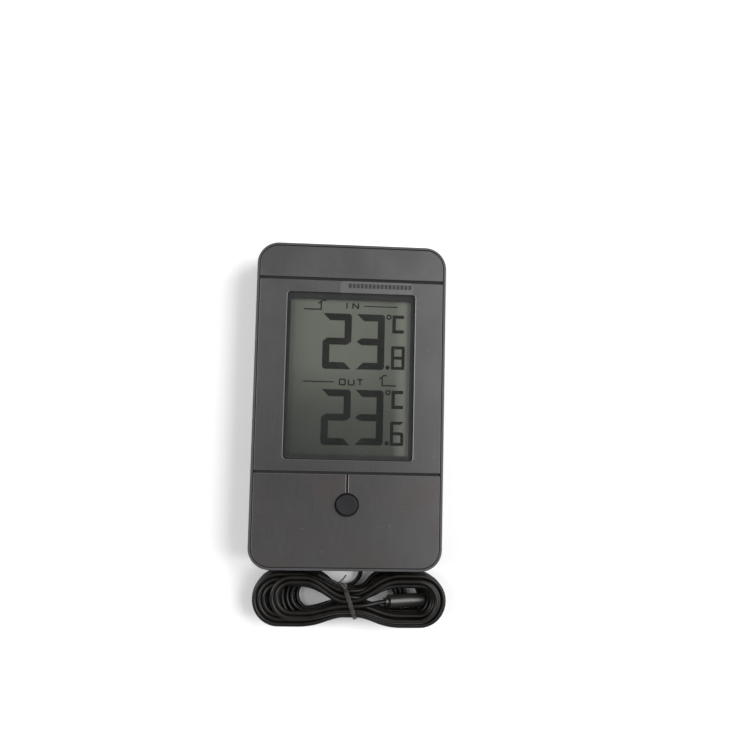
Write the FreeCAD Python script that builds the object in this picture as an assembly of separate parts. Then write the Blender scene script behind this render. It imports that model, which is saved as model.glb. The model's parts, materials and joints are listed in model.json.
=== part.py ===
"""Indoor-outdoor maximum minimum thermometer, one STEP file per piece, in millimetres.

The thermometer lies on its back: +X is its right, +Y its top, +Z its front.
The origin is on the back plane, under the middle of the housing.
"""
import FreeCAD, Part
import math
import os

V = FreeCAD.Vector

# ---------------------------------------------------------------- driving dimensions
WIDTH = 65.0
LENGTH = 110.7
DEPTH = 19.0
CORNER = 7.3
WALL = 1.6
SPLIT = 12.5            # height of the joint between the two housings
BACK = 1.8              # thickness of the back wall
BACK_ROUND = 1.5

RIM = 0.8               # plastic rim left round the metal plates
PLATE = 0.5
PLATE_GAP = 0.25        # groove between a plate's outer edge and the rim
GLUE = 0.1
PLATE_BEVEL = 0.2
RECESS = DEPTH - PLATE - GLUE
FRONT_WALL = RECESS - WALL          # height of the inside of the front wall
TOP_PLATE_Y = (43.7, LENGTH / 2 - RIM)
DISPLAY_PLATE_Y = (-22.4, 42.7)
LOWER_PLATE_Y = (-LENGTH / 2 + RIM, -23.35)

WINDOW_X = (-22.0, 22.0)
WINDOW_Y = (-18.6, 38.6)
WINDOW_CORNER = 1.2
LENS = 1.4
LENS_GAP = 0.05
SIGHT_X = (-20.75, 20.55)           # clear opening under the lens
SIGHT_Y = (-16.95, 36.6)
FILM = 0.08
FILM_TAB_X = (-3.9, 21.0)
FILM_TAB_Y = 42.6

GLASS_X = 26.0
GLASS_Y = (-20.2, 39.8)
GLASS_TOP = 16.3
GLASS = 0.5
CRYSTAL_GAP = 0.06
REFLECTOR = 0.2
REAR_GLASS_Y = (-18.2, 37.8)
HOLDER_X = 30.2
HOLDER_Y = (-22.0, 41.2)

BOARD = 1.0
BOARD_TOP = 13.6
BOARD_Y = (-39.0, 41.0)

BUTTON_Y = -33.5
BUTTON_R = 3.7
BUTTON_TOP = DEPTH + 1.4
BUTTON_TRAVEL = 0.5
FLANGE_R = 5.0
SWITCH_TOP = 15.2
PLUNGER_TOP = 15.9
PLUNGER_R = 1.7

BATTERY_R = 5.25
BATTERY_Y = 47.6
BATTERY_Z = 7.6
BAY_X = 25.5
BAY_WALL = 1.7
BAY_Y = (42.15, 53.05)
BAY_TOP = 13.1
CONTACT = 0.4
NUB = 0.8
BATTERY_BODY_X = (-19.4, BAY_X - CONTACT - NUB)

DOOR_X = 25.2
DOOR_Z = (0.25, 1.75)
DOOR_EDGE = (DOOR_Z[1] - DOOR_Z[0]) / 2
DOOR_AXIS = (43.1, 1.0)
DOOR_END = 52.75
DOOR_PIN_R = 0.55

STAND_X = 11.1
STAND_POCKET_X = 11.4
STAND_POCKET_Y = (-31.4, 17.5)
STAND_POCKET = 3.0
STAND_Z = (0.3, 2.7)
STAND_EDGE = (STAND_Z[1] - STAND_Z[0]) / 2
STAND_AXIS = (14.5, 1.5)
STAND_END = -30.6
STAND_PIN_R = 0.9
PIN_PLAY = 0.05
PIN_LONG = 1.1

KEYHOLE_Y = 29.5
KEYHOLE_R = 3.75
KEYHOLE_SLOT_R = 2.0
KEYHOLE_SLOT_Y = 36.5

CASE_SCREWS = [(28.4, 48.8), (-28.4, 48.8), (27.0, -49.5), (-27.0, -49.5)]
CASE_BOSS_R = 3.0
CASE_SCREW_R = 1.1
CASE_HEAD_R = 2.0
CASE_HEAD = 1.4
CASE_SINK = 3.5
CASE_SCREW_TOP = 15.5
BOARD_SCREWS = [(28.1, 38.5), (-28.1, 38.5), (28.1, -19.5), (-28.1, -19.5),
                (25.0, -36.5), (-25.0, -36.5)]      # the last two go into the front housing
BOARD_SCREW_R = 0.8
BOARD_HEAD_R = 1.6
BOARD_HEAD = 1.0
BOARD_SCREW_TOP = 15.6

CABLE_R = 0.8
EXIT = (6.3, -LENGTH / 2, 3.0)      # where the cable comes through the bottom wall
CABLE_ROUTE = [EXIT, (6.3, -58.4, 2.6), (4.9, -61.3, 1.8), (2.1, -63.3, 1.4), (-1.5, -63.35, 1.35)]
GROMMET_R = 1.7
GROMMET_PROUD = 0.95
HANK_HEIGHT = 13.4
WAIST = (2.3, -67.3)
TIE_INSIDE = (0.45, 13.65)          # heights between which the tie's band goes round the waist
TIE_THICK = 0.45
TIE_SLANT = 19.6
PROBE_R = 2.3
PROBE_ENTRY_R = 1.3
PROBE_ENTRY = (14.2, -67.0, 9.7)
PROBE_REAR = (15.6, -67.0, 9.2)
PROBE_TIP = (27.4, -67.0, 5.3)      # centre of its round end

SEGMENT = 0.05
STROKE = 2.4            # of the large digits
ICON_PEN = 0.46         # of the small roof signs
RULE_PEN = 0.38         # of the lines beside the two words


# ---------------------------------------------------------------- plain shapes
def block(xs, ys, zs):
    """A box between pairs of x, y and z."""
    corner = V(min(xs), min(ys), min(zs))
    return Part.makeBox(abs(xs[1] - xs[0]), abs(ys[1] - ys[0]), abs(zs[1] - zs[0]), corner)


def rounded(xs, ys, zs, radius):
    """A box with its four upright edges rounded."""
    body = block(xs, ys, zs)
    upright = [e for e in body.Edges if abs(e.Vertexes[0].Z - e.Vertexes[-1].Z) > 1e-6]
    return body.makeFillet(radius, upright)


def shell_block(inset, zs):
    """The housing's outline, moved in by inset, between two heights."""
    half_x = WIDTH / 2 - inset
    half_y = LENGTH / 2 - inset
    return rounded((-half_x, half_x), (-half_y, half_y), zs, CORNER - inset)


def rod(radius, start, end):
    """A round rod between two points."""
    axis = V(*end) - V(*start)
    return Part.makeCylinder(radius, axis.Length, V(*start), axis)


def upright(radius, x, y, zs):
    """A round rod along Z."""
    return rod(radius, (x, y, zs[0]), (x, y, zs[1]))


def fuse(shapes):
    """One clean solid from touching shapes."""
    return shapes[0].multiFuse(shapes[1:]).removeSplitter()


def bevelled(body, height, size):
    """The body with the edges of its face at a height cut to a bevel."""
    edges = [e for e in body.Edges if all(abs(v.Z - height) < 1e-6 for v in e.Vertexes)]
    return body.makeChamfer(size, edges)


def path_wire(points):
    """Straight runs joined by tangent arcs, each as large as its two runs allow."""
    route = [V(*p) for p in points]
    edges = []
    radii = []
    start = route[0]
    for before, corner, after in zip(route, route[1:], route[2:]):
        inward = (before - corner).normalize()
        outward = (after - corner).normalize()
        turn = math.pi - inward.getAngle(outward)
        cut = 0.45 * min((before - corner).Length, (after - corner).Length)
        radius = cut / math.tan(turn / 2)
        middle = (inward + outward).normalize()
        reach = math.hypot(radius, cut) - radius
        first = corner + inward * cut
        last = corner + outward * cut
        edges.append(Part.makeLine(start, first))
        edges.append(Part.Arc(first, corner + middle * reach, last).toShape())
        radii.append(radius)
        start = last
    edges.append(Part.makeLine(start, route[-1]))
    return Part.Wire(edges), radii


def tube(points, radius):
    """A round wire or cable along a route, and the radii of its bends."""
    path, radii = path_wire(points)
    direction = V(*points[1]) - V(*points[0])
    ring = Part.Wire(Part.makeCircle(radius, V(*points[0]), direction))
    return path.makePipeShell([ring], True, False), radii


# ---------------------------------------------------------------- housings
def rear_housing():
    outer = shell_block(0, (0, SPLIT))
    back_edges = [e for e in outer.Edges if all(abs(v.Z) < 1e-6 for v in e.Vertexes)]
    outer = outer.makeFillet(BACK_ROUND, back_edges)
    hollow = shell_block(WALL, (BACK, SPLIT))
    tongue = shell_block(WALL / 2, (SPLIT - 1.0, SPLIT + 0.8)).cut(shell_block(WALL, (0, DEPTH)))
    bay = bay_outside(0)
    pocket_walls = block((-13.4, 13.4), (-36.0, STAND_POCKET_Y[1] + 1.6), (0, STAND_POCKET + 1.4))
    bosses = [upright(CASE_BOSS_R, x, y, (BACK, SPLIT)) for x, y in CASE_SCREWS]
    body = fuse([outer.cut(hollow), tongue, bay, pocket_walls] + bosses)
    cuts = [block((-BAY_X, BAY_X), BAY_Y, (-1, BAY_TOP))]
    cuts.append(block((-STAND_POCKET_X, STAND_POCKET_X), STAND_POCKET_Y, (-1, STAND_POCKET)))
    cuts.append(block((-5.0, 5.0), (-34.4, STAND_POCKET_Y[0]), (-1, 2.2)))
    cuts += keyhole() + vents() + pin_sockets() + contact_slots()
    cuts.append(rod(GROMMET_R - 0.4, (EXIT[0], -LENGTH, EXIT[2]), (EXIT[0], -50, EXIT[2])))
    for x, y in CASE_SCREWS:
        cuts.append(upright(CASE_HEAD_R + 0.2, x, y, (-1, CASE_SINK)))
        cuts.append(upright(CASE_SCREW_R + 0.1, x, y, (CASE_SINK, DEPTH)))
    return body.cut(cuts)


def bay_outside(grow):
    """The outside of the battery bay's walls, which reach up into the front housing."""
    half = BAY_X + BAY_WALL + grow
    return block((-half, half), (BAY_Y[0] - 0.85 - grow, BAY_Y[1] + 0.65), (0, BAY_TOP + 1.2 + grow))


def keyhole():
    """The hole that a wall screw's head goes through, and the slot it slides up."""
    entry = upright(KEYHOLE_R, 0, KEYHOLE_Y, (-1, BACK + 1))
    end = upright(KEYHOLE_SLOT_R, 0, KEYHOLE_SLOT_Y, (-1, BACK + 1))
    slot = block((-KEYHOLE_SLOT_R, KEYHOLE_SLOT_R), (KEYHOLE_Y, KEYHOLE_SLOT_Y), (-1, BACK + 1))
    return [entry, end, slot]


def vents():
    """Slots that let room air reach the indoor sensor."""
    return [block((-24.0, -14.0), (y, y + 1.2), (-1, BACK + 1)) for y in (-46.4, -43.8, -41.2, -38.6)]


def pin_sockets():
    """Blind holes for the hinge pins of the stand and of the battery door."""
    cuts = []
    for side in (-1, 1):
        y, z = STAND_AXIS
        end = (side * (STAND_X + PIN_LONG + 0.4), y, z)
        cuts.append(rod(STAND_PIN_R + PIN_PLAY, (side * (STAND_POCKET_X - 1), y, z), end))
        y, z = DOOR_AXIS
        end = (side * (DOOR_X + PIN_LONG + 0.4), y, z)
        cuts.append(rod(DOOR_PIN_R + PIN_PLAY, (side * (BAY_X - 1), y, z), end))
    return cuts


def contact_slots():
    """Slots in the wall of the battery bay for the solder tabs."""
    return [contact_tab(1), contact_tab(-1)]


def front_housing():
    outer = shell_block(0, (SPLIT, DEPTH))
    outer = bevelled(outer, DEPTH, 0.25)
    hollow = shell_block(WALL, (SPLIT, FRONT_WALL))
    bosses = [upright(CASE_BOSS_R, x, y, (SPLIT, FRONT_WALL)) for x, y in CASE_SCREWS]
    bosses += [upright(2.0, x, y, (BOARD_TOP, FRONT_WALL)) for x, y in BOARD_SCREWS[4:]]
    inside = shell_block(RIM / 2, (SPLIT, DEPTH - 1))
    body = fuse([outer.cut(hollow)] + [b.common(inside) for b in bosses])
    rebate = shell_block(WALL / 2 - 0.05, (SPLIT, SPLIT + 0.9))
    rebate = rebate.cut(shell_block(WALL + 0.05, (SPLIT, SPLIT + 0.9)))
    cuts = [shell_block(RIM, (RECESS, DEPTH + 1)), rebate, bay_outside(0.05)]
    cuts.append(rounded(WINDOW_X, WINDOW_Y, (DEPTH - LENS, DEPTH), WINDOW_CORNER))
    cuts.append(block(SIGHT_X, SIGHT_Y, (SPLIT, DEPTH)))
    cuts.append(upright(BUTTON_R + 0.15, 0, BUTTON_Y, (SPLIT, DEPTH)))
    cuts += [upright(CASE_SCREW_R, x, y, (SPLIT, CASE_SCREW_TOP)) for x, y in CASE_SCREWS]
    cuts += [upright(BOARD_SCREW_R, x, y, (SPLIT, BOARD_SCREW_TOP)) for x, y in BOARD_SCREWS[4:]]
    return body.cut(cuts)


# ---------------------------------------------------------------- front plates, lens and film
def plate_outline(ys, zs):
    """The part of the recessed front between two heights of the thermometer."""
    return shell_block(RIM + PLATE_GAP, zs).common(block((-WIDTH, WIDTH), ys, zs))


def plate_holes(zs):
    window = rounded(WINDOW_X, WINDOW_Y, zs, WINDOW_CORNER)
    hole = upright(BUTTON_R + 0.25, 0, BUTTON_Y, zs)
    slit = block((-0.35, 0.35), (BUTTON_Y, LOWER_PLATE_Y[1]), zs)
    return window, hole, slit


def front_plate(ys, zs, bevel):
    window, hole, slit = plate_holes(zs)
    body = plate_outline(ys, zs).cut([window, hole, slit]).removeSplitter()
    if bevel:
        body = bevelled(body, zs[1], bevel)
    return body


def plate_adhesive():
    heights = (RECESS, RECESS + GLUE)
    sheets = [front_plate(ys, heights, 0) for ys in (TOP_PLATE_Y, DISPLAY_PLATE_Y, LOWER_PLATE_Y)]
    return Part.makeCompound(sheets)


def display_lens():
    xs = (WINDOW_X[0] + LENS_GAP, WINDOW_X[1] - LENS_GAP)
    ys = (WINDOW_Y[0] + LENS_GAP, WINDOW_Y[1] - LENS_GAP)
    return rounded(xs, ys, (DEPTH - LENS, DEPTH), WINDOW_CORNER)


def protective_film():
    zs = (DEPTH, DEPTH + FILM)
    sheet = rounded((WINDOW_X[0] + 0.3, WINDOW_X[1] - 0.3), (WINDOW_Y[0] + 0.3, WINDOW_Y[1] - 0.3), zs, 1.0)
    tab = rounded(FILM_TAB_X, (WINDOW_Y[1] - 4, FILM_TAB_Y), zs, 0.9)
    return fuse([sheet, tab])


# ---------------------------------------------------------------- liquid crystal display
def lcd_front_glass():
    return block((-GLASS_X, GLASS_X), GLASS_Y, (GLASS_TOP - GLASS, GLASS_TOP))


def lcd_rear_glass():
    top = GLASS_TOP - GLASS - CRYSTAL_GAP
    return block((-GLASS_X, GLASS_X), REAR_GLASS_Y, (top - GLASS, top))


def lcd_reflector():
    top = GLASS_TOP - 2 * GLASS - CRYSTAL_GAP
    ys = (REAR_GLASS_Y[0] + 1, REAR_GLASS_Y[1] - 1)
    return block((-GLASS_X + 1, GLASS_X - 1), ys, (top - REFLECTOR, top))


def zebra_strip(ys):
    """The striped rubber that joins the glass to the circuit board."""
    return block((-GLASS_X + 1, GLASS_X - 1), ys, (BOARD_TOP, GLASS_TOP - GLASS))


def lcd_holder():
    body = block((-HOLDER_X, HOLDER_X), HOLDER_Y, (BOARD_TOP, FRONT_WALL))
    pocket = block((-GLASS_X - 0.05, GLASS_X + 0.05), (GLASS_Y[0] - 0.05, GLASS_Y[1] + 0.05), (0, GLASS_TOP))
    sight = block((-23.0, 23.0), (REAR_GLASS_Y[0] - 0.4, REAR_GLASS_Y[1] + 0.4), (0, DEPTH))
    holes = [upright(BOARD_SCREW_R, x, y, (0, BOARD_SCREW_TOP)) for x, y in BOARD_SCREWS[:4]]
    return body.cut([pocket, sight] + holes)


def flat(points):
    """A flat mark of the display, from its outline."""
    corners = [V(x, y, GLASS_TOP - GLASS - SEGMENT) for x, y in points]
    return Part.Face(Part.makePolygon(corners + corners[:1])).extrude(V(0, 0, SEGMENT))


def line(start, end, width):
    """A straight mark of the display."""
    along = V(end[0] - start[0], end[1] - start[1], 0).normalize()
    side = V(-along.y, along.x, 0) * (width / 2)
    corners = [(start[0] + side.x, start[1] + side.y), (end[0] + side.x, end[1] + side.y)]
    corners += [(end[0] - side.x, end[1] - side.y), (start[0] - side.x, start[1] - side.y)]
    return flat(corners)


def digit(lit, xs, ys, stroke):
    """The lit segments of a seven-segment digit: a to g, clockwise from the top, g in the middle.

    An outer corner is cut off where two lit segments meet in it.
    """
    x0, x1 = xs
    y0, y1 = ys
    mid = (y0 + y1) / 2
    gap = stroke * 0.015
    half = stroke / 2
    slope = stroke * 0.7
    upper = mid + half + gap
    lower = mid - half - gap
    outlines = {
        "a": [(x0 + gap, y1), (x1 - gap, y1), (x1 - stroke, y1 - stroke), (x0 + stroke, y1 - stroke)],
        "b": [(x1, y1 - gap), (x1, mid + gap), (x1 - slope, upper), (x1 - stroke, upper),
              (x1 - stroke, y1 - stroke - gap)],
        "c": [(x1, y0 + gap), (x1, mid - gap), (x1 - slope, lower), (x1 - stroke, lower),
              (x1 - stroke, y0 + stroke + gap)],
        "d": [(x0 + gap, y0), (x1 - gap, y0), (x1 - stroke, y0 + stroke), (x0 + stroke, y0 + stroke)],
        "e": [(x0, y0 + gap), (x0, mid - gap), (x0 + slope, lower), (x0 + stroke, lower),
              (x0 + stroke, y0 + stroke + gap)],
        "f": [(x0, y1 - gap), (x0, mid + gap), (x0 + slope, upper), (x0 + stroke, upper),
              (x0 + stroke, y1 - stroke - gap)],
        "g": [(x0, mid), (x0 + slope, mid + half), (x1 - slope, mid + half),
              (x1, mid), (x1 - slope, mid - half), (x0 + slope, mid - half)],
    }
    solids = [flat(outlines[name]) for name in lit]
    for pair, x, y in (("ab", x1, y1), ("cd", x1, y0), ("de", x0, y0), ("af", x0, y1)):
        if set(pair) <= set(lit):
            across = stroke * 0.3 if x == x0 else -stroke * 0.3
            along = stroke * 0.3 if y == y0 else -stroke * 0.3
            corner = flat([(x, y), (x + across, y), (x, y + along)])
            solids = [solid.cut(corner) for solid in solids]
    return solids


def degree_mark(x, y):
    """The ring and the letter C of the unit, from the ring's centre."""
    zs = (GLASS_TOP - GLASS - SEGMENT, GLASS_TOP - GLASS)
    ring = upright(0.95, x, y, zs).cut(upright(0.45, x, y, zs))
    left, right, top, low, wide = x + 1.25, x + 5.25, y + 0.7, y - 5.6, 1.15
    letter = [line((right, top - wide / 2), (left, top - wide / 2), wide)]
    letter.append(line((left + wide / 2, top), (left + wide / 2, low), wide))
    letter.append(line((left, low + wide / 2), (right, low + wide / 2), wide))
    return [ring, fuse(letter)]


def letters(word, x, y, height, pitch):
    """Plain block letters made of straight strokes."""
    wide, half, pen = height, height / 2, height * 0.24
    strokes = {
        "I": [((0, -half), (0, half))],
        "N": [((-half, -half), (-half, half)), ((-half, half), (half, -half)), ((half, -half), (half, half))],
        "O": [((-half, -half), (-half, half)), ((-half, half), (half, half)),
              ((half, half), (half, -half)), ((half, -half), (-half, -half))],
        "U": [((-half, -half), (-half, half)), ((half, -half), (half, half)),
              ((-half, -half), (half, -half))],
        "T": [((0, -half), (0, half)), ((-half, half), (half, half))],
    }
    marks = []
    for place, name in enumerate(word):
        centre = x + (place - (len(word) - 1) / 2) * pitch * wide
        bars = [line((centre + a, y + b), (centre + c, y + d), pen) for (a, b), (c, d) in strokes[name]]
        marks.append(fuse(bars) if len(bars) > 1 else bars[0])
    return marks


def lcd_segments():
    marks = digit("abged", (-9.6, 0.3), (12.5, 31.85), STROKE)
    marks += digit("abgcd", (2.1, 11.8), (12.6, 31.85), STROKE)
    marks += digit("abcdefg", (14.2, 18.9), (12.8, 21.0), 1.05) + degree_mark(13.2, 31.1)
    marks += digit("abged", (-9.4, 0.6), (-13.6, 5.5), STROKE)
    marks += digit("abgcd", (2.2, 11.9), (-13.4, 5.5), STROKE)
    marks += digit("acdefg", (14.4, 19.0), (-13.4, -5.1), 1.05) + degree_mark(13.4, 4.85)
    zs = (GLASS_TOP - GLASS - SEGMENT, GLASS_TOP - GLASS)
    marks += [upright(0.75, 13.05, 13.5, zs), upright(0.75, 13.3, -12.6, zs)]
    marks += letters("IN", 0, 34.65, 1.9, 1.6) + letters("OUT", 0.6, 8.1, 1.9, 1.6)
    marks.append(fuse([line((-16.3, 33.1), (-10.2, 33.1), ICON_PEN), line((-10.4, 33.1), (-10.4, 36.0), ICON_PEN)]))
    marks.append(fuse([line((-11.4, 35.1), (-9.8, 36.45), ICON_PEN), line((-9.9, 36.4), (-8.7, 36.3), ICON_PEN)]))
    marks.append(line((4.4, 34.65), (16.2, 34.65), RULE_PEN))
    marks.append(line((-15.9, 8.05), (-5.4, 8.05), RULE_PEN))
    marks.append(fuse([line((10.3, 9.4), (11.9, 10.75), ICON_PEN), line((11.8, 10.7), (13.0, 10.6), ICON_PEN)]))
    marks.append(fuse([line((11.3, 9.8), (11.3, 7.2), ICON_PEN), line((11.12, 7.2), (16.2, 7.2), ICON_PEN)]))
    return Part.makeCompound(marks)


# ---------------------------------------------------------------- circuit board and its parts
def circuit_board():
    body = rounded((-HOLDER_X, HOLDER_X), BOARD_Y, (BOARD_TOP - BOARD, BOARD_TOP), 1.0)
    holes = [upright(BOARD_SCREW_R + 0.1, x, y, (0, DEPTH)) for x, y in BOARD_SCREWS]
    return body.cut(holes)


def controller_chip():
    """The round blob of resin over the controller."""
    low = BOARD_TOP - BOARD
    ball = Part.makeSphere(26.0, V(2, 3, low + 24.6))
    return ball.common(upright(9.0, 2, 3, (low - 2, low)))


def clock_crystal():
    low = BOARD_TOP - BOARD
    can = rod(1.0, (13.0, 20.0, low - 1.0), (13.0, 26.0, low - 1.0))
    legs = [rod(0.2, (13.0 + d, 18.0, low - 0.2), (13.0 + d, 20.0, low - 0.8)) for d in (-0.5, 0.5)]
    return fuse([can] + legs)


def board_components():
    """Chip resistors and capacitors, and one larger capacitor."""
    low = BOARD_TOP - BOARD
    places = [(x, y) for x in (-22, -16, 18) for y in (-6, 0, 6, 12)]
    small = [block((x, x + 2.0), (y, y + 1.2), (low - 0.7, low)) for x, y in places]
    return Part.makeCompound(small + [block((-8.0, -4.8), (18.0, 19.6), (low - 1.1, low))])


def indoor_thermistor():
    """A bead on two wires, hanging from the board over the vents."""
    bead = Part.makeSphere(1.3, V(-19, -43.2, 7.6))
    legs = []
    for side in (-0.5, 0.5):
        x = -19 + side
        route = [(x, -43.0, 7.9), (x, -40.8, 10.2), (x, -37.4, 10.4), (x, -36.6, 12.6)]
        legs.append(tube(route, 0.22)[0])
    return fuse([bead] + legs)


def switch_body():
    body = block((-3.0, 3.0), (BUTTON_Y - 3.0, BUTTON_Y + 3.0), (BOARD_TOP, SWITCH_TOP))
    return body.cut(upright(PLUNGER_R + 0.08, 0, BUTTON_Y, (BOARD_TOP + 0.2, SWITCH_TOP)))


def switch_plunger():
    return upright(PLUNGER_R, 0, BUTTON_Y, (BOARD_TOP + 0.2 + BUTTON_TRAVEL + 0.1, PLUNGER_TOP))


def button():
    cap = upright(BUTTON_R, 0, BUTTON_Y, (PLUNGER_TOP, BUTTON_TOP))
    edges = [e for e in cap.Edges if all(abs(v.Z - BUTTON_TOP) < 1e-6 for v in e.Vertexes)]
    cap = cap.makeFillet(0.7, edges)
    dish = Part.makeSphere(30.0, V(0, BUTTON_Y, BUTTON_TOP + 29.85))
    flange = upright(FLANGE_R, 0, BUTTON_Y, (PLUNGER_TOP, FRONT_WALL - 0.1))
    return fuse([cap.cut(dish), flange])


# ---------------------------------------------------------------- battery, contacts and door
def battery():
    flat_end, nub_end = BATTERY_BODY_X
    body = rod(BATTERY_R, (flat_end, BATTERY_Y, BATTERY_Z), (nub_end, BATTERY_Y, BATTERY_Z))
    body = body.makeFillet(0.5, [e for e in body.Edges if len(e.Vertexes) == 1])
    nub = rod(1.9, (nub_end - 1, BATTERY_Y, BATTERY_Z), (nub_end + NUB, BATTERY_Y, BATTERY_Z))
    return fuse([body, nub])


def contact_tab(side):
    xs = (side * (BAY_X - CONTACT), side * BAY_X)
    return block(xs, (BAY_Y[0] - 1.7, BAY_Y[0]), (9.0, 11.0))


def battery_contact(side):
    xs = (side * (BAY_X - CONTACT), side * BAY_X)
    plate = block(xs, (BAY_Y[0], BAY_Y[1] - 0.6), (3.6, 12.2))
    return fuse([plate, contact_tab(side)])


def battery_spring():
    """The cone-shaped coil that presses on the battery's flat end."""
    wire = 0.3
    turns = 4
    steps = 8
    first = -BAY_X + CONTACT + wire
    last = BATTERY_BODY_X[0] - wire
    coil = []
    for step in range(turns * steps + 1):
        part = step / (turns * steps)
        radius = 4.1 - 1.4 * part
        angle = 2 * math.pi * step / steps
        y = BATTERY_Y + radius * math.cos(angle)
        z = BATTERY_Z + radius * math.sin(angle)
        coil.append((first + (last - first) * part, y, z))
    return tube(coil, wire)[0]


def battery_lead(side):
    """The wire from a contact's solder tab up to the board."""
    x = side * (BAY_X - CONTACT / 2)
    y = BAY_Y[0] - 1.7
    return tube([(x, y, 10.0), (x, y - 2.6, 10.0), (x, y - 2.6, BOARD_TOP - BOARD)], 0.45)[0]


def battery_door():
    y, z = DOOR_AXIS
    plate = block((-DOOR_X, DOOR_X), (y, DOOR_END), DOOR_Z)
    edge = rod(DOOR_EDGE, (-DOOR_X, y, z), (DOOR_X, y, z))
    pins = rod(DOOR_PIN_R, (-DOOR_X - PIN_LONG, y, z), (DOOR_X + PIN_LONG, y, z))
    catch = block((-4.0, 4.0), (51.4, 52.2), (DOOR_Z[1], 3.1))
    heights = (DOOR_Z[0] - 1, DOOR_Z[0] + 0.3)
    grips = [block((-6.0, 6.0), (low, low + 0.5), heights) for low in (48.4, 49.6, 50.8)]
    return fuse([plate, edge, pins, catch]).cut(grips)


# ---------------------------------------------------------------- stand and screws
def stand():
    y, z = STAND_AXIS
    leg = rounded((-STAND_X, STAND_X), (STAND_END, y + 4), STAND_Z, 3.0)
    leg = leg.cut(block((-WIDTH, WIDTH), (y, y + 9), (-1, 9)))
    edge = rod(STAND_EDGE, (-STAND_X, y, z), (STAND_X, y, z))
    pins = rod(STAND_PIN_R, (-STAND_X - PIN_LONG, y, z), (STAND_X + PIN_LONG, y, z))
    relief = rounded((-6.5, 6.5), (-22.0, 6.0), (STAND_Z[1] - 1.0, STAND_Z[1] + 1), 2.0)
    heights = (STAND_Z[0] - 1, STAND_Z[0] + 0.35)
    grips = [block((-5.0, 5.0), (low, low + 0.6), heights) for low in (-29.0, -27.4, -25.8)]
    return fuse([leg, edge, pins]).cut([relief] + grips)


def cross_slot(x, y, low, width, depth):
    """The cross cut into a screw's head."""
    arms = [block((x - width, x + width), (y - 0.25, y + 0.25), (low - 1, low + depth))]
    arms.append(block((x - 0.25, x + 0.25), (y - width, y + width), (low - 1, low + depth)))
    return arms


def screw(x, y, head_low, head, head_r, shank_r, top):
    """A self-tapping screw whose head faces the back."""
    disc = upright(head_r, x, y, (head_low, head_low + head))
    edges = [e for e in disc.Edges if all(abs(v.Z - head_low) < 1e-6 for v in e.Vertexes)]
    disc = disc.makeFillet(head * 0.4, edges)
    shank = upright(shank_r, x, y, (head_low + head, top))
    return fuse([disc, shank]).cut(cross_slot(x, y, head_low, head_r * 0.6, head * 0.5))


def case_screws():
    low = CASE_SINK - CASE_HEAD
    made = [screw(x, y, low, CASE_HEAD, CASE_HEAD_R, CASE_SCREW_R, CASE_SCREW_TOP) for x, y in CASE_SCREWS]
    return Part.makeCompound(made)


def board_screws():
    low = BOARD_TOP - BOARD - BOARD_HEAD
    made = []
    for x, y in BOARD_SCREWS:
        made.append(screw(x, y, low, BOARD_HEAD, BOARD_HEAD_R, BOARD_SCREW_R, BOARD_SCREW_TOP))
    return Part.makeCompound(made)


# ---------------------------------------------------------------- sensor cable, hank and probe
def cable_grommet():
    """The rubber bush that the cable passes through, with a flange each side of the wall."""
    x, y, z = EXIT
    inside = y + WALL
    neck = rod(GROMMET_R - 0.4, (x, y, z), (x, inside, z))
    outer = rod(GROMMET_R, (x, y - GROMMET_PROUD, z), (x, y, z))
    inner = rod(GROMMET_R - 0.55, (x, inside, z), (x, inside + 1.2, z))
    bore = rod(CABLE_R, (x, y - 2, z), (x, inside + 2, z))
    return fuse([neck, outer, inner]).cut(bore)


def sensor_leads():
    """The cable's end inside the housing: its jacket, and two wires up to the board."""
    x, y, z = EXIT
    start = y + WALL + 3.0
    pieces = [rod(CABLE_R, (x, y, z), (x, start, z))]
    for side in (-0.42, 0.42):
        route = [(x + side, start - 0.5, z), (x + side, start + 5.0, z), (x + side, start + 12.0, 9.5),
                 (x + side, start + 12.0, BOARD_TOP - BOARD)]
        pieces.append(tube(route, 0.35)[0])
    return fuse(pieces)


def sensor_cable():
    shape, radii = tube(CABLE_ROUTE, CABLE_R)
    print("cable bend radii", [round(r, 2) for r in radii])
    runs = sum((V(*b) - V(*a)).Length for a, b in zip(CABLE_ROUTE, CABLE_ROUTE[1:]))
    section = math.pi * CABLE_R ** 2
    print("cable volume", round(shape.Volume, 1), "section times runs", round(section * runs, 1))
    return shape


def tie_frame(grow):
    """The block that the tie goes round, slanted across the hank's waist."""
    half = 5.3 + grow
    heights = (TIE_INSIDE[0] - grow, TIE_INSIDE[1] + grow)
    body = rounded((-half, half), heights, (-0.75, 0.75), 1.4 + grow)
    body.rotate(V(0, 0, 0), V(1, 0, 0), 90)
    body.rotate(V(0, 0, 0), V(0, 0, 1), 90 + TIE_SLANT)
    body.translate(V(WAIST[0], WAIST[1], 0))
    return body


def tie_band():
    return tie_frame(TIE_THICK).cut(tie_frame(0))


def twist_tie():
    twist = (-1.6, -60.2, 12.6)
    knot = rod(0.8, (0.6, -62.3, 12.6), twist)
    tails = [rod(0.5, twist, (-8.6, -57.6, 13.3)), rod(0.5, twist, (0.6, -57.6, 13.4))]
    return fuse([tie_band(), knot] + tails)


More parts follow.
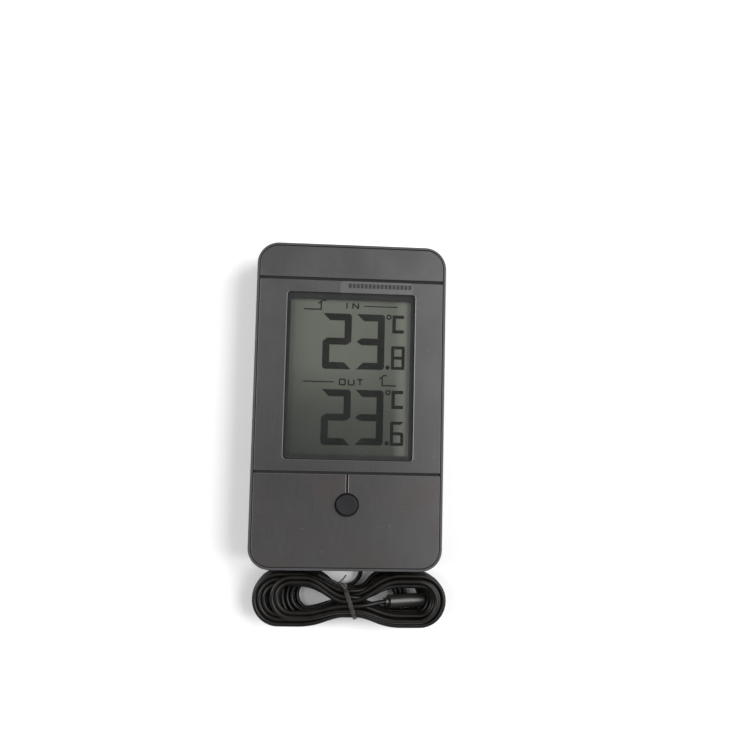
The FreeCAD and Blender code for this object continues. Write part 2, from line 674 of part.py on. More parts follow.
def cable_hank():
    """The outer shape of the tied hank: two loops, a waist, and the eyes of the loops."""
    zs = (0, HANK_HEIGHT)
    left = rounded((-31.5, -6.0), (-75.6, -56.9), zs, 8.9)
    right = rounded((10.0, 35.5), (-76.0, -56.9), zs, 8.9)
    outline = [(-18.0, -56.9), (-1.5, -62.4), (6.0, -62.4), (20.0, -56.9),
               (20.0, -76.0), (6.0, -72.2), (-1.5, -72.2), (-18.0, -75.6)]
    corners = [V(x, y, 0) for x, y in outline]
    waist = Part.Face(Part.makePolygon(corners + corners[:1])).extrude(V(0, 0, HANK_HEIGHT))
    eyes = [rounded((PROBE_REAR[0] - 0.6, 30.2), (-69.8, -64.2), (-1, 20), 2.6)]
    eyes.append(rounded((-24.5, -12.0), (-68.8, -63.4), (-1, 20), 2.6))
    return fuse([left, waist, right]).cut(eyes + [tie_band()])


def sensor_probe():
    """The sensor's sleeve: a round tube with a domed end and a narrow cable entry."""
    sleeve = rod(PROBE_R, PROBE_REAR, PROBE_TIP)
    dome = Part.makeSphere(PROBE_R, V(*PROBE_TIP))
    entry = rod(PROBE_ENTRY_R, PROBE_ENTRY, PROBE_REAR)
    return fuse([sleeve, dome, entry])


# ---------------------------------------------------------------- output
def all_pieces():
    plates = (RECESS + GLUE, DEPTH)
    pieces = {
        "rear_housing": rear_housing(),
        "front_housing": front_housing(),
        "top_plate": front_plate(TOP_PLATE_Y, plates, PLATE_BEVEL),
        "display_plate": front_plate(DISPLAY_PLATE_Y, plates, PLATE_BEVEL),
        "lower_plate": front_plate(LOWER_PLATE_Y, plates, PLATE_BEVEL),
        "plate_adhesive": plate_adhesive(),
        "display_lens": display_lens(),
        "protective_film": protective_film(),
        "lcd_front_glass": lcd_front_glass(),
        "lcd_rear_glass": lcd_rear_glass(),
        "lcd_reflector": lcd_reflector(),
        "lcd_segments": lcd_segments(),
        "lcd_holder": lcd_holder(),
        "zebra_strip_top": zebra_strip((38.0, 39.6)),
        "zebra_strip_bottom": zebra_strip((-20.0, -18.4)),
        "circuit_board": circuit_board(),
        "controller_chip": controller_chip(),
        "clock_crystal": clock_crystal(),
        "board_components": board_components(),
        "indoor_thermistor": indoor_thermistor(),
        "switch_body": switch_body(),
        "switch_plunger": switch_plunger(),
        "button": button(),
        "battery": battery(),
        "battery_contact_positive": battery_contact(1),
        "battery_contact_negative": battery_contact(-1),
        "battery_spring": battery_spring(),
        "battery_lead_positive": battery_lead(1),
        "battery_lead_negative": battery_lead(-1),
        "battery_door": battery_door(),
        "stand": stand(),
        "case_screws": case_screws(),
        "board_screws": board_screws(),
        "cable_grommet": cable_grommet(),
        "sensor_leads": sensor_leads(),
        "sensor_cable": sensor_cable(),
        "cable_hank": cable_hank(),
        "twist_tie": twist_tie(),
        "sensor_probe": sensor_probe(),
    }
    return pieces


os.makedirs("parts", exist_ok=True)
for name, shape in all_pieces().items():
    shape.exportStep("parts/" + name + ".step")
    print(name, len(shape.Solids), "solids", round(shape.Volume, 2), "valid", shape.isValid())
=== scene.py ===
"""Looks of the indoor-outdoor thermometer: camera, cable hank, tie, film, materials and lights."""
import json
import math

import bmesh
import bpy
from mathutils import Matrix, Vector


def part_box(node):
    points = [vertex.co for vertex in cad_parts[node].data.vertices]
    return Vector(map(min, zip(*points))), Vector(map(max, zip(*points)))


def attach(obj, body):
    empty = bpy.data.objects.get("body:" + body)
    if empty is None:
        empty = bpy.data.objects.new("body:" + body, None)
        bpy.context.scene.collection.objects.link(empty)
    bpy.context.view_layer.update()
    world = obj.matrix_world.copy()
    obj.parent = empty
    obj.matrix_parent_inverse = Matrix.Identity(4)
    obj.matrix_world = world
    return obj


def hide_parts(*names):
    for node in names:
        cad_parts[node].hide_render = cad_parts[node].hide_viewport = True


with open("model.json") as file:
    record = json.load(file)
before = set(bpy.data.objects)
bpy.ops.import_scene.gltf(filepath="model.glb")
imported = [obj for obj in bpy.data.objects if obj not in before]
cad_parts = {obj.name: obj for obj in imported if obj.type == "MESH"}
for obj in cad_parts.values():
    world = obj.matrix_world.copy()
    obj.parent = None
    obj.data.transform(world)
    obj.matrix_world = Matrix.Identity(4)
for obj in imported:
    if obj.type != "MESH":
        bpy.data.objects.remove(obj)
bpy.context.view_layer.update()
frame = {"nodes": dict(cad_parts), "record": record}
nodes = frame["nodes"]
scene = bpy.context.scene
MM = 0.001


# ---------------------------------------------------------------- camera
# its place and axes are the result of a fit of the plates' edges, grooves and window to the photograph
CAMERA_LENS = 37.73                    # millimetres, on a sensor of the width below
CAMERA_SENSOR = 36
CAMERA_PLACE = (-0.009212, -0.012439, 0.285571)
CAMERA_RIGHT = (0.997407, 0.022371, 0.068395)
CAMERA_UP = (-0.028099, 0.996072, 0.083972)
CAMERA_BACK = (-0.066248, -0.085676, 0.994118)


def add_camera():
    data = bpy.data.cameras.new("camera")
    data.lens = CAMERA_LENS
    data.sensor_width = CAMERA_SENSOR
    data.clip_start = 0.01
    camera = bpy.data.objects.new("camera", data)
    scene.collection.objects.link(camera)
    turn = Matrix((CAMERA_RIGHT, CAMERA_UP, CAMERA_BACK)).transposed().to_4x4()
    camera.matrix_world = Matrix.Translation(CAMERA_PLACE) @ turn
    scene.camera = camera


add_camera()


# ---------------------------------------------------------------- cable: route in millimetres
CABLE_D = 1.6
WAIST = (2.3, -67.3)                   # where the tie goes round the hank
FLOOR = 0.82                           # height of the lowest turns' centreline
PITCH = 1.63                           # from one turn to the next
TIE_LIFT = 0.5                         # the tie's band passes under the lowest turns
HALF = 8.35                            # half the width of the outermost loops
WAIST_HALF = 4.07                      # half the width of the waist
NECK = 4.6                             # how far from its middle the waist starts to open
SHOULDER = 13.0                        # how far from the waist's middle a turn is at its full width
STRAIGHT = 2.3                         # run from the last shoulder point to the round end
RUN_LIFT = 0.1                         # the runs lie this much above the round ends
ROUND_STEP = 30                        # degrees between a round end's control points
LEAD = [(6.3, -55.35, 3.0), (6.3, -58.4, 2.6), (4.9, -61.3, 1.8), (2.1, -63.3, 1.4),
        (-1.5, -63.35, 1.35)]
# one layer of three nested turns: left end, left middle, right end, right middle
LAYERS = [(-30.2, -66.2, 30.5, -66.6), (-19.4, -66.0, 22.0, -66.4), (-29.6, -66.4, 34.0, -66.2),
          (-21.2, -65.9, 33.2, -66.8), (-30.6, -66.3, 34.6, -66.4), (-25.8, -66.1, 34.0, -66.7),
          (-30.4, -66.3, 34.6, -66.5), (-26.0, -65.4, 33.6, -66.4)]
LAST_LOOP = (-22.7, -65.4, 5.09, 0.81)  # half a turn on top: end, middle, half width, waist offset
TAIL = [(6.0, -68.0, 12.7), (9.3, -67.5, 12.0), (12.2, -67.1, 10.7), (14.2, -67.0, 9.7),
        (15.6, -67.0, 9.2)]


def hank_loop(side, end, middle, half, offset, z):
    """Half a turn: out of the waist on one side, round the end of the hank and back into the waist."""
    centre = end - side * half
    # control points a little outside the arc that the smooth line then follows
    out = half / math.cos(math.radians(ROUND_STEP / 2))
    neck = WAIST[0] + side * NECK
    shoulder = WAIST[0] + side * SHOULDER
    approach = centre - side * STRAIGHT
    way = [approach]
    if side * (approach - shoulder) > 3:
        way.insert(0, shoulder)
    points = [(neck, WAIST[1] - side * offset, z + TIE_LIFT)]
    points += [(x, middle - side * half, z + RUN_LIFT) for x in way]
    for turn in range(75, -76, -ROUND_STEP):
        angle = math.radians(turn)
        points.append((centre + side * out * math.cos(angle), middle - side * out * math.sin(angle), z))
    points += [(x, middle + side * half, z + RUN_LIFT) for x in reversed(way)]
    points.append((neck, WAIST[1] + side * offset, z + TIE_LIFT))
    points.append((WAIST[0], WAIST[1] + side * offset, z + TIE_LIFT))
    return points


def cable_route():
    """The cable from the housing, through the hank's turns, to the back of the sensor."""
    turns = []
    top = len(LAYERS) - 1
    for layer in range(top):
        nested = range(3) if layer % 2 == 0 else reversed(range(3))
        turns += [(layer, n) for n in nested]
    turns += [(top, 1), (top, 2)]
    points = list(LEAD)
    for i in range(len(turns) - 1):
        layer, n = turns[i]
        left_end, left_middle, right_end, right_middle = LAYERS[layer]
        half = HALF - PITCH * n
        offset = WAIST_HALF - PITCH * n
        z = FLOOR + PITCH * layer
        left = hank_loop(-1, left_end + PITCH * n, left_middle, half, offset, z)
        right = hank_loop(1, right_end - PITCH * n, right_middle, half, offset, z)
        # the last point of a turn is the first of the next one
        next_layer, next_n = turns[i + 1]
        next_y = WAIST[1] + WAIST_HALF - PITCH * next_n
        next_z = FLOOR + PITCH * next_layer + TIE_LIFT
        x, y, z = right[-2]
        right[-2] = (x, (y + next_y) / 2, (z + next_z) / 2)
        right[-1] = (WAIST[0], next_y, next_z)
        points += (left[1:] if i == 0 else left) + right
    end, middle, half, offset = LAST_LOOP
    points += hank_loop(-1, end, middle, half, offset, FLOOR + PITCH * top)
    return points + TAIL


def mesh_piece(name, bm):
    mesh = bpy.data.meshes.new(name)
    bm.to_mesh(mesh)
    bm.free()
    piece = bpy.data.objects.new(name, mesh)
    scene.collection.objects.link(piece)
    return piece


def spline_object(name, points, radius):
    """A round tube along a smooth line; the points carry its radius, which its bounds then follow."""
    curve = bpy.data.curves.new(name, "CURVE")
    curve.dimensions = "3D"
    spline = curve.splines.new("NURBS")
    spline.points.add(len(points) - 1)
    for point, place in zip(spline.points, points):
        point.co = (*[MM * v for v in place], 1)
        point.radius = MM * radius
    spline.order_u = 3
    spline.use_endpoint_u = True
    curve.resolution_u = 4
    curve.bevel_depth = 1.0
    curve.bevel_resolution = 3
    curve.use_fill_caps = True
    piece = bpy.data.objects.new(name, curve)
    scene.collection.objects.link(piece)
    return piece


cable = spline_object("sensor_cable_run", cable_route(), CABLE_D / 2)
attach(cable, "housing")
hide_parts("sensor_cable", "cable_hank")


# ---------------------------------------------------------------- twist tie
TIE_SLANT = math.radians(19.6)
TIE_HALF = 5.3                         # half the length of the band's inside
TIE_HEIGHTS = (0.45, 13.65)            # of the band's inside
TIE_PROFILE = [(-0.72, -0.06), (-0.24, -0.08), (-0.12, -0.2), (0.12, -0.2),
               (0.24, -0.08), (0.72, -0.06), (0.72, 0.06), (0.24, 0.08),
               (0.12, 0.2), (-0.12, 0.2), (-0.24, 0.08), (-0.72, 0.06)]
TIE_CORE = 0.2                         # half the tie's thickness at its wire
BAND_CORNER = 2.2                      # corner radius of the band's loop
KNOT = ((0.6, -62.3, 12.6), (-1.6, -60.2, 12.6))
KNOT_TURN = 540                        # degrees that each strand winds round the other
KNOT_SPREAD = 0.36                     # from the knot's axis to each strand
KNOT_STEPS = 36
TIE_TAILS = ((-8.6, -57.6, 13.3), (0.6, -57.6, 13.4))
TAIL_STEPS = 12
TAIL_ARCH = 0.5


def ribbon(bm, path, widths, closed=False):
    """Sweeps the tie's profile, a flat band round a wire, along points and width directions."""
    rings = []
    for i, (place, width) in enumerate(zip(path, widths)):
        before = path[i - 1] if closed or i else place
        after = path[(i + 1) % len(path)] if closed or i + 1 < len(path) else place
        along = (after - before).normalized()
        width = (width - along * width.dot(along)).normalized()
        thick = along.cross(width)
        rings.append([bm.verts.new(MM * (place + width * u + thick * v)) for u, v in TIE_PROFILE])
    count = len(TIE_PROFILE)
    for i in range(len(rings) if closed else len(rings) - 1):
        a, b = rings[i], rings[(i + 1) % len(rings)]
        for j in range(count):
            bm.faces.new((a[j], a[(j + 1) % count], b[(j + 1) % count], b[j]))
    if not closed:
        bm.faces.new(rings[0])
        bm.faces.new(list(reversed(rings[-1])))


def band_path():
    """A rounded upright loop round the waist, in the tie's slanting plane, and its width direction."""
    across = Vector((-math.sin(TIE_SLANT), math.cos(TIE_SLANT), 0))
    width = Vector((math.cos(TIE_SLANT), math.sin(TIE_SLANT), 0))
    middle = sum(TIE_HEIGHTS) / 2
    half_up = (TIE_HEIGHTS[1] - TIE_HEIGHTS[0]) / 2 + TIE_CORE
    half_out = TIE_HALF + TIE_CORE
    path = []
    for quarter, (up_sign, out_sign) in enumerate(((1, 1), (-1, 1), (-1, -1), (1, -1))):
        for step in range(7):
            angle = math.radians(90 * quarter + 15 * step)
            up = up_sign * (half_up - BAND_CORNER) + BAND_CORNER * math.cos(angle)
            out = out_sign * (half_out - BAND_CORNER) + BAND_CORNER * math.sin(angle)
            path.append(Vector((*WAIST, middle + up)) + across * out)
    return path, [width] * len(path)


def strand(side):
    """One end of the tie: it winds round the other in the knot and then stands off as a tail."""
    start, end = (Vector(p) for p in KNOT)
    axis = (end - start).normalized()
    first = axis.cross(Vector((0, 0, 1))).normalized()
    second = axis.cross(first)
    path, widths = [], []
    for i in range(KNOT_STEPS + 1):
        share = i / KNOT_STEPS
        angle = math.radians(KNOT_TURN * share + (0 if side > 0 else 180))
        spoke = first * math.cos(angle) + second * math.sin(angle)
        path.append(start + (end - start) * share + spoke * KNOT_SPREAD)
        widths.append(axis.cross(spoke))
    tip = Vector(TIE_TAILS[0 if side > 0 else 1])
    base, last = path[-1], widths[-1]
    upright = Vector((0, 0, 1))
    for i in range(1, TAIL_STEPS + 1):
        share = i / TAIL_STEPS
        arch = Vector((0, 0, TAIL_ARCH * math.sin(math.pi * share)))
        path.append(base + (tip - base) * share + arch)
        widths.append(last.lerp(upright if last.z > 0 else -upright, min(1, share * 3)))
    return path, widths


def add_tie():
    bm = bmesh.new()
    ribbon(bm, *band_path(), closed=True)
    for side in (-1, 1):
        path, widths = strand(side)
        ribbon(bm, path, widths)
    bmesh.ops.recalc_face_normals(bm, faces=bm.faces)
    return mesh_piece("tie", bm)


tie = add_tie()
bevel = tie.modifiers.new("edges", "BEVEL")
bevel.width = 0.03 * MM
bevel.segments = 2
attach(tie, "housing")
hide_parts("twist_tie")


# ---------------------------------------------------------------- clear sheets
def upper_skin(name, node):
    """The upward faces of a clear CAD sheet, so that light passes one surface and not two."""
    bm = bmesh.new()
    bm.from_mesh(nodes[node].data)
    bm.normal_update()
    hidden = [f for f in bm.faces if f.normal.z < 0.2]
    bmesh.ops.delete(bm, geom=hidden, context="FACES")
    bmesh.ops.remove_doubles(bm, verts=bm.verts, dist=1e-6)
    piece = mesh_piece(name, bm)
    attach(piece, "housing")
    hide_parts(node)
    return piece


film = upper_skin("film_sheet", "protective_film")
lens = upper_skin("lens_face", "display_lens")
glass = upper_skin("display_glass_face", "lcd_front_glass")


# ---------------------------------------------------------------- marks on the film's tab
MARK_LENGTH = 0.95
MARK_GAP = 0.42
MARK_HEIGHT = 1.5
MARK_TOP = 0.012                       # above the film
MARK_THICK = 0.008
ROW_START = (1.3, 1.55)                # in from the tab's right and top edges
ROW_END = 24.0                         # from the tab's right edge


def add_film_marks():
    """A row of plain dashes printed along the tab of the protective film."""
    _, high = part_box("protective_film")
    bm = bmesh.new()
    dash, gap, height = MARK_LENGTH * MM, MARK_GAP * MM, MARK_HEIGHT * MM
    x = high.x - ROW_START[0] * MM
    y = high.y - ROW_START[1] * MM
    z = high.z + MARK_TOP * MM
    while x - dash > high.x - ROW_END * MM:
        bottom, top = y - height / 2, y + height / 2
        corners = [(x, bottom), (x, top), (x - dash, top), (x - dash, bottom)]
        lower = [bm.verts.new((u, v, z - MARK_THICK * MM)) for u, v in corners]
        upper = [bm.verts.new((u, v, z)) for u, v in corners]
        bm.faces.new(upper)
        bm.faces.new(list(reversed(lower)))
        for i in range(4):
            j = (i + 1) % 4
            bm.faces.new((lower[i], lower[j], upper[j], upper[i]))
        x -= dash + gap
    bmesh.ops.recalc_face_normals(bm, faces=bm.faces)
    return mesh_piece("film_marks", bm)


film_marks = add_film_marks()
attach(film_marks, "housing")


# ---------------------------------------------------------------- materials
def srgb(r, g, b):
    """Linear colour from the 0 to 255 values that a screen shows."""
    linear = [(v / 255 / 12.92) if v <= 10 else ((v / 255 + 0.055) / 1.055) ** 2.4 for v in (r, g, b)]
    return (*linear, 1)


class Surface:
    """A material with one Principled shader and short ways to add detail to it."""

    def __init__(self, name, **sockets):
        self.material = bpy.data.materials.new(name)
        self.material.use_nodes = True
        self.tree = self.material.node_tree
        self.shader = self.tree.nodes["Principled BSDF"]
        self.place = self.add("ShaderNodeTexCoord")
        for socket, value in sockets.items():
            self.shader.inputs[socket.replace("_", " ")].default_value = value

    def add(self, kind, **settings):
        node = self.tree.nodes.new(kind)
        for key, value in settings.items():
            setattr(node, key, value)
        return node

    def link(self, out, node, socket):
        self.tree.links.new(out, node.inputs[socket])

    def noise(self, size, stretch=(1, 1, 1), detail=4, seed=0):
        """Grey noise whose features are about size millimetres across, longer along stretched axes."""
        scale = self.add("ShaderNodeMapping")
        scale.inputs["Scale"].default_value = [1 / (size * MM * s) for s in stretch]
        scale.inputs["Location"].default_value = (seed * 7.3, seed * 3.1, seed * 5.7)
        self.link(self.place.outputs["Object"], scale, "Vector")
        noise = self.add("ShaderNodeTexNoise")
        noise.inputs["Scale"].default_value = 1
        noise.inputs["Detail"].default_value = detail
        self.link(scale.outputs["Vector"], noise, "Vector")
        return noise.outputs["Fac"]

    def specks(self, size, share, seed=0):
        """1 in small round spots spaced size millimetres apart, and 0 between them."""
        scale = self.add("ShaderNodeMapping")
        scale.inputs["Scale"].default_value = [1 / (size * MM)] * 3
        scale.inputs["Location"].default_value = (seed, seed * 2.3, 0)
        self.link(self.place.outputs["Object"], scale, "Vector")
        cells = self.add("ShaderNodeTexVoronoi")
        cells.inputs["Scale"].default_value = 1
        self.link(scale.outputs["Vector"], cells, "Vector")
        return self.ramp(cells.outputs["Distance"], [(share * 0.7, 1), (share, 0)])

    def axis(self, which, low, high, source="Object"):
        """0 at low to 1 at high, along one axis, in metres or as a share of the normal."""
        split = self.add("ShaderNodeSeparateXYZ")
        self.link(self.place.outputs[source], split, "Vector")
        spread = self.add("ShaderNodeMapRange")
        spread.inputs["From Min"].default_value = low
        spread.inputs["From Max"].default_value = high
        self.link(split.outputs[which], spread, "Value")
        return spread.outputs["Result"]

    def ramp(self, value, stops):
        """Maps a value through (position, grey or colour) stops."""
        ramp = self.add("ShaderNodeValToRGB")
        elements = ramp.color_ramp.elements
        while len(elements) < len(stops):
            elements.new(1)
        for element, (position, colour) in zip(elements, sorted(stops)):
            element.position = position
            element.color = colour if isinstance(colour, tuple) else (colour, colour, colour, 1)
        self.link(value, ramp, "Fac")
        return ramp.outputs["Color"]

    def mix(self, factor, a, b, how="MIX"):
        """a where factor is 0 and b where it is 1; each is a colour or another node's output."""
        mix = self.add("ShaderNodeMix", data_type="RGBA", blend_type=how)
        # inputs 6 and 7 and output 2 are the node's colour sockets
        for socket, value in ((mix.inputs[0], factor), (mix.inputs[6], a), (mix.inputs[7], b)):
            if isinstance(value, bpy.types.NodeSocket):
                self.tree.links.new(value, socket)
            else:
                socket.default_value = value
        return mix.outputs[2]

    def colour(self, value):
        self.link(value, self.shader, "Base Color")
        return self

    def rough(self, value, low, high):
        """Roughness that follows a grey value between two limits."""
        spread = self.add("ShaderNodeMapRange")
        spread.inputs["To Min"].default_value = low
        spread.inputs["To Max"].default_value = high
        self.link(value, spread, "Value")
        self.link(spread.outputs["Result"], self.shader, "Roughness")
        return self

    def bump(self, *layers):
        """Raises the surface by (grey value, depth in millimetres) layers."""
        last = None
        for value, depth in layers:
            bump = self.add("ShaderNodeBump")
            bump.inputs["Distance"].default_value = depth * MM
            self.link(value, bump, "Height")
            if last:
                self.link(last.outputs["Normal"], bump, "Normal")
            last = bump
        self.link(last.outputs["Normal"], self.shader, "Normal")
        return self


def moulded(name, dark, light, roughness=0.45, grain=0.22, depth=0.012, gloss=0.5):
    """Moulded plastic: a fine pebbled grain, faint flow marks and slightly uneven gloss.

    Returns the Surface, so that a caller can add to it.
    """
    s = Surface(name)
    fine = s.noise(grain, detail=2)
    broad = s.noise(9, detail=3, seed=2)
    s.colour(s.mix(s.ramp(broad, [(0.35, 0.0), (0.65, 1.0)]), dark, light))
    s.rough(broad, roughness - 0.08, roughness + 0.1)
    s.shader.inputs["Specular IOR Level"].default_value = gloss
    s.bump((fine, depth), (broad, 0.01))
    return s


def front_plastic():
    """The front's plastic, matt and near black with painted shade on the floor under the plates and the
    lens's ledge.
    """
    s = moulded("front_plastic", srgb(48, 47, 50), srgb(54, 53, 56))
    low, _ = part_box("plate_adhesive")
    height = s.axis("Z", low.z - 0.001, low.z + 0.001)
    floor = s.ramp(height, [(0.0, 0.0), (0.04, 1.0), (0.56, 1.0), (0.62, 0.0)])
    upward = s.ramp(s.axis("Z", 0.0, 1.0, source="Normal"), [(0.9, 0.0), (0.97, 1.0)])
    # painted shade: the floor in the grooves under the plates and on the lens's ledge is turned near
    # black
    groove_shade_mask = s.mix(1.0, floor, upward, how="MULTIPLY")
    s.colour(s.mix(groove_shade_mask, s.shader.inputs["Base Color"].links[0].from_socket, srgb(8, 8, 8)))
    s.link(s.ramp(groove_shade_mask, [(0.0, 0.48), (1.0, 0.9)]), s.shader, "Roughness")
    return s.material


def brushed():
    """Dark anodised aluminium brushed up and down, with a bright bevel cut round its edges."""
    s = Surface("brushed_metal", Metallic=0.75)
    hair = s.noise(0.09, stretch=(1, 40, 40), detail=3)
    streak = s.noise(0.5, stretch=(1, 18, 18), detail=4, seed=3)
    cloud = s.noise(14, detail=4, seed=5)
    grain = s.mix(0.35, s.ramp(hair, [(0.2, 0.0), (0.8, 1.0)]), s.ramp(streak, [(0.2, 0.0), (0.8, 1.0)]))
    face = s.mix(grain, srgb(60, 60, 61), srgb(68, 68, 69))
    # paler towards the top and the right: painted light, set against the photograph, whose light is
    # partly in it
    upper = s.ramp(s.axis("Y", -0.055, 0.055), [(0.0, 0.4), (0.3, 0.05), (0.6, 0.45), (0.95, 0.85)])
    face = s.mix(upper, face, srgb(88, 88, 89))
    right = s.ramp(s.axis("X", 0.004, 0.032), [(0.0, 0.0), (1.0, 0.75)])
    face = s.mix(right, face, srgb(80, 80, 81))
    # the lower plate clouds over in a warmer tone than the others
    warm = s.mix(s.axis("Y", -0.0234, -0.0232), srgb(75, 69, 68), srgb(74, 72, 72))
    face = s.mix(s.ramp(cloud, [(0.36, 0.0), (0.62, 0.65)]), face, warm)
    specks = s.specks(3.6, 0.04, seed=1)
    face = s.mix(specks, face, srgb(135, 133, 133))
    # the bevel's normal leans half way; the cut walls under it stay dark
    lean = s.axis("Z", 0.0, 1.0, source="Normal")
    cut = s.ramp(lean, [(0.3, 0.0), (0.45, 1.0), (0.86, 1.0), (0.97, 0.0)])
    # painted brighter where it faces left or right, as it looks under the photograph's light
    turn = s.axis("X", -1.0, 1.0, source="Normal")
    sideways = s.ramp(turn, [(0.2, 1.0), (0.4, 0.0), (0.6, 0.0), (0.8, 1.0)])
    edge = s.mix(sideways, srgb(128, 128, 132), srgb(168, 168, 172))
    s.colour(s.mix(cut, face, edge))
    s.link(s.ramp(s.mix(cut, grain, (0, 0, 0, 1)), [(0.0, 0.32), (1.0, 0.46)]), s.shader, "Roughness")
    return s.bump((hair, 0.003), (streak, 0.002)).material


def clear(name, tint, alpha, roughness, wrinkle, tab=None):
    """A clear sheet, with faint smears, waves and dust; above the height tab it looks milkier."""
    s = Surface(name, IOR=1.49)
    smear = s.noise(6, stretch=(1, 2.2, 1), detail=4)
    dust = s.specks(3.7, 0.028, seed=4)
    s.colour(s.mix(dust, tint, (0.7, 0.7, 0.7, 1)))
    s.rough(smear, roughness, roughness + 0.12)
    veil = s.ramp(smear, [(0.3, alpha * 0.7), (0.75, alpha * 1.4)])
    if tab:
        veil = s.mix(s.axis("Y", tab, tab + 0.0003), veil, (0.055, 0.055, 0.055, 1))
    veil = s.mix(dust, veil, (0.2, 0.2, 0.2, 1))
    s.link(veil, s.shader, "Alpha")
    return s.bump((smear, wrinkle)).material


def display_ground():
    """The grey green ground of a reflective display: fine pearl grain under soft, uneven painted light
    and shade.

    The painted shade was set until the render's tones came near the photograph's, so it holds some of
    that picture's light and haze besides the display's own tone.
    """
    s = Surface("display_ground", Roughness=0.6, Specular_IOR_Level=0.1)
    pearl = s.noise(0.16, detail=2)
    cloud = s.noise(9, detail=3, seed=6)
    ground = s.mix(pearl, srgb(74, 78, 70), srgb(84, 88, 79))
    ground = s.mix(s.ramp(cloud, [(0.4, 0.0), (0.7, 0.35)]), ground, srgb(76, 80, 72))
    # painted light and shade: paler towards the top, darker towards the bottom, the left and right of
    # the middle, paler at the right edge
    upper = s.ramp(s.axis("Y", 0.010, 0.036), [(0.0, 0.0), (1.0, 0.5)])
    ground = s.mix(upper, ground, srgb(90, 93, 85))
    lower = s.ramp(s.axis("Y", -0.020, 0.014), [(0.0, 0.88), (0.5, 0.66), (0.92, 0.1), (1.0, 0.0)])
    ground = s.mix(lower, ground, srgb(24, 27, 23))
    left = s.ramp(s.axis("X", -0.021, 0.004), [(0.0, 0.3), (1.0, 0.0)])
    ground = s.mix(left, ground, srgb(40, 44, 39))
    middle = s.ramp(s.axis("X", -0.010, 0.014), [(0.0, 0.0), (1.0, 0.45)])
    ground = s.mix(middle, ground, srgb(54, 58, 51))
    right = s.ramp(s.axis("X", 0.015, 0.021), [(0.0, 0.0), (1.0, 0.75)])
    ground = s.mix(right, ground, srgb(110, 114, 104))
    s.colour(ground)
    return s.bump((pearl, 0.004)).material


def display_ink():
    """Liquid crystal marks: near black, with painted light that makes them paler and greener towards the
    top, as in the photograph.
    """
    s = Surface("display_ink", Roughness=0.5, Specular_IOR_Level=0.05)
    grain = s.noise(0.3, detail=2)
    # painted light: the marks get paler and greener towards the top
    tone = s.mix(s.axis("Y", -0.018, 0.034), srgb(3, 4, 4), srgb(20, 22, 18))
    s.colour(s.mix(s.ramp(grain, [(0.4, 0.0), (0.8, 0.25)]), tone, srgb(24, 26, 22)))
    return s.bump((grain, 0.003)).material


def painted(name, colour, other, roughness, size=1.2, depth=0.01, metallic=0.0):
    """A plain finish with fine colour variation, uneven gloss and a slight texture."""
    s = Surface(name, Metallic=metallic)
    grain = s.noise(size, detail=4)
    s.colour(s.mix(s.ramp(grain, [(0.35, 0.0), (0.65, 1.0)]), colour, other))
    s.rough(grain, roughness - 0.06, roughness + 0.1)
    return s.bump((grain, depth)).material


def cable_jacket():
    """Soft black cable jacket: satin, slightly brown, with faint drawing lines and dust."""
    s = Surface("cable_jacket", IOR=1.45, Specular_IOR_Level=0.28)
    fine = s.noise(0.35, detail=3)
    broad = s.noise(5, detail=3, seed=7)
    tone = s.mix(s.ramp(broad, [(0.35, 0.0), (0.65, 1.0)]), srgb(10, 9, 8), srgb(20, 17, 15))
    dust = s.specks(1.4, 0.05, seed=3)
    s.colour(s.mix(dust, tone, srgb(56, 52, 48)))
    s.rough(broad, 0.3, 0.46)
    return s.bump((fine, 0.01), (broad, 0.04)).material


def board_laminate():
    """Green solder mask over a faint pattern of tracks."""
    s = Surface("board_laminate", Coat_Weight=0.4, Coat_Roughness=0.15)
    tracks = s.add("ShaderNodeTexBrick")
    tracks.inputs["Scale"].default_value = 420
    tracks.inputs["Mortar Size"].default_value = 0.04
    tracks.inputs["Color1"].default_value = srgb(22, 84, 48)
    tracks.inputs["Color2"].default_value = srgb(26, 92, 54)
    tracks.inputs["Mortar"].default_value = srgb(52, 124, 76)
    s.link(s.place.outputs["Object"], tracks, "Vector")
    grain = s.noise(0.5, detail=3)
    s.colour(s.mix(s.ramp(grain, [(0.4, 0.0), (0.8, 0.4)]), tracks.outputs["Color"], srgb(16, 66, 38)))
    s.rough(grain, 0.35, 0.5)
    return s.bump((tracks.outputs["Fac"], 0.02), (grain, 0.006)).material


def battery_sleeve():
    """Printed battery sleeve: a plain blue grey body with a pale band at its positive end."""
    s = Surface("battery_sleeve", Coat_Weight=0.5, Coat_Roughness=0.1)
    low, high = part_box("battery")
    band = s.ramp(s.axis("X", low.x, high.x), [(0.0, 0.0), (0.79, 0.0), (0.8, 1.0), (1.0, 1.0)])
    grain = s.noise(0.8, detail=3)
    body = s.mix(grain, srgb(48, 66, 84), srgb(58, 78, 98))
    ring = s.mix(grain, srgb(190, 192, 194), srgb(208, 210, 211))
    s.colour(s.mix(band, body, ring))
    s.rough(grain, 0.26, 0.36)
    return s.bump((grain, 0.006)).material


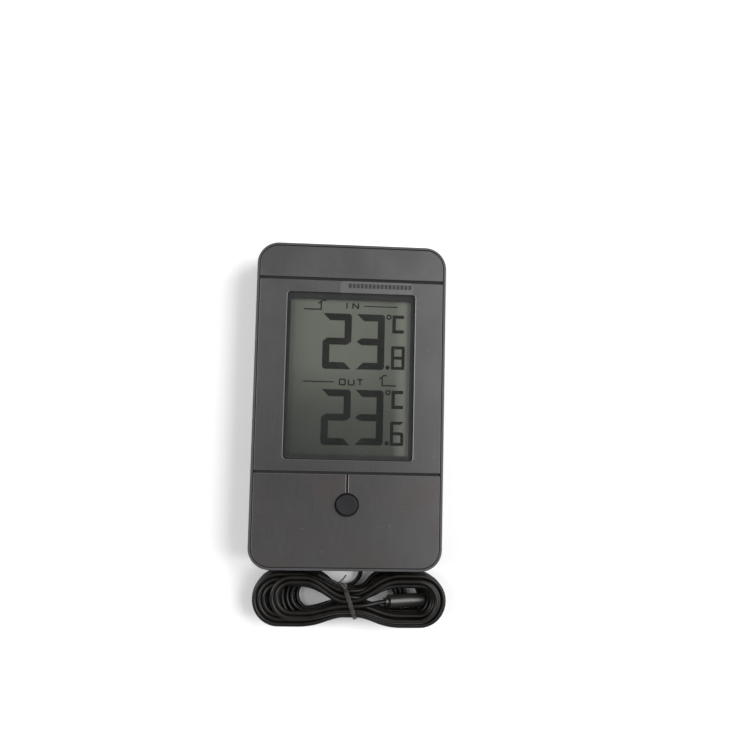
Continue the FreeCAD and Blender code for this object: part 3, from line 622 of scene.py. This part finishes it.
FINISHES = {
    "housing_plastic": moulded("case_plastic", srgb(48, 47, 50), srgb(54, 53, 56)).material,
    "face_metal": brushed(),
    "adhesive": painted("adhesive", srgb(34, 33, 32), srgb(44, 43, 42), 0.6, size=0.6),
    "lens_clear": clear("lens_clear", (0.2, 0.2, 0.21, 1), 0.008, 0.06, 0.01),
    "film_clear": clear("film_clear", (0.6, 0.6, 0.62, 1), 0.011, 0.14, 0.03, tab=0.0384),
    "display_glass": clear("display_glass", (0.2, 0.21, 0.2, 1), 0.008, 0.05, 0.004),
    "display_ground": display_ground(),
    "reflector_foil": painted("reflector_foil", srgb(150, 152, 150), srgb(170, 172, 168), 0.3, size=2,
                              metallic=0.9),
    "display_ink": display_ink(),
    "inner_plastic": moulded("inner_plastic", srgb(40, 40, 42), srgb(50, 50, 52), 0.5).material,
    "zebra_rubber": painted("zebra_rubber", srgb(26, 26, 28), srgb(150, 110, 120), 0.6, size=0.3),
    "board_laminate": board_laminate(),
    "chip_resin": painted("chip_resin", srgb(22, 22, 24), srgb(32, 32, 34), 0.4, size=0.8),
    "crystal_can": painted("crystal_can", srgb(168, 168, 172), srgb(190, 190, 192), 0.25, size=1.5,
                           metallic=0.95),
    "component_ceramic": painted("component_ceramic", srgb(130, 104, 78), srgb(156, 130, 100), 0.45,
                                 size=0.4),
    "thermistor_bead": painted("thermistor_bead", srgb(28, 24, 22), srgb(44, 38, 34), 0.3, size=0.5),
    "switch_plastic": moulded("switch_plastic", srgb(24, 24, 26), srgb(34, 34, 36), 0.4).material,
    "button_plastic": moulded("button_plastic", srgb(12, 12, 15), srgb(18, 18, 22), 0.55, grain=0.16,
                              depth=0.01, gloss=0.25).material,
    "battery_sleeve": battery_sleeve(),
    "contact_metal": painted("contact_metal", srgb(176, 172, 160), srgb(200, 196, 186), 0.24, size=1,
                             metallic=0.95),
    "lead_red": painted("lead_red", srgb(150, 24, 22), srgb(174, 36, 30), 0.4, size=0.8),
    "lead_black": painted("lead_black", srgb(22, 22, 22), srgb(34, 34, 34), 0.4, size=0.8),
    "screw_steel": painted("screw_steel", srgb(150, 150, 152), srgb(178, 178, 180), 0.28, size=0.7,
                           metallic=0.95),
    "grommet_rubber": painted("grommet_rubber", srgb(24, 24, 24), srgb(34, 34, 34), 0.6, size=0.6),
    "cable_jacket": cable_jacket(),
    "tie_plastic": painted("tie_plastic", srgb(34, 32, 30), srgb(50, 47, 44), 0.3, size=0.9, depth=0.02),
    "probe_plastic": moulded("probe_plastic", srgb(24, 23, 22), srgb(34, 32, 30), 0.35, grain=0.3,
                             depth=0.01).material,
}


def finish_piece(piece, slot):
    piece.data.materials.clear()
    piece.data.materials.append(FINISHES[slot])


for part in frame["record"]["subparts"]:
    finish_piece(nodes[part["node"]], part["material_slot"])
nodes["front_housing"].data.materials[0] = front_plastic()
finish_piece(cable, "cable_jacket")
finish_piece(tie, "tie_plastic")
film_print = painted("film_print", srgb(12, 12, 14), srgb(22, 22, 24), 0.6, size=0.5)
film_marks.data.materials.append(film_print)
finish_piece(film, "film_clear")
finish_piece(lens, "lens_clear")
finish_piece(glass, "display_glass")


# ---------------------------------------------------------------- floor and lights
def add_floor():
    bm = bmesh.new()
    bmesh.ops.create_grid(bm, x_segments=8, y_segments=8, size=1.5)
    floor = mesh_piece("floor", bm)
    floor.location.z = -0.0002
    s = Surface("floor_paper", Roughness=0.8)
    grain = s.noise(30, detail=3)
    s.colour(s.mix(grain, srgb(236, 236, 236), srgb(242, 242, 242)))
    floor.data.materials.append(s.material)


def add_light(name, place, size, power):
    """A soft rectangular light that points at the origin."""
    data = bpy.data.lights.new(name, "AREA")
    data.shape = "RECTANGLE"
    data.size, data.size_y = size
    data.energy = power
    light = bpy.data.objects.new(name, data)
    scene.collection.objects.link(light)
    light.location = place
    light.rotation_euler = (-Vector(place)).to_track_quat("-Z", "Y").to_euler()


def add_world():
    world = bpy.data.worlds.new("studio")
    world.use_nodes = True
    background = world.node_tree.nodes["Background"]
    background.inputs["Color"].default_value = (1, 1, 1, 1)
    background.inputs["Strength"].default_value = 0.3
    scene.world = world


add_floor()
add_world()
add_light("key", (0.68, 0.12, 0.82), (0.8, 0.8), 15)
add_light("fill", (-0.75, 0.1, 0.7), (0.3, 0.9), 8)
scene.view_settings.view_transform = "Standard"

bpy.context.view_layer.update()
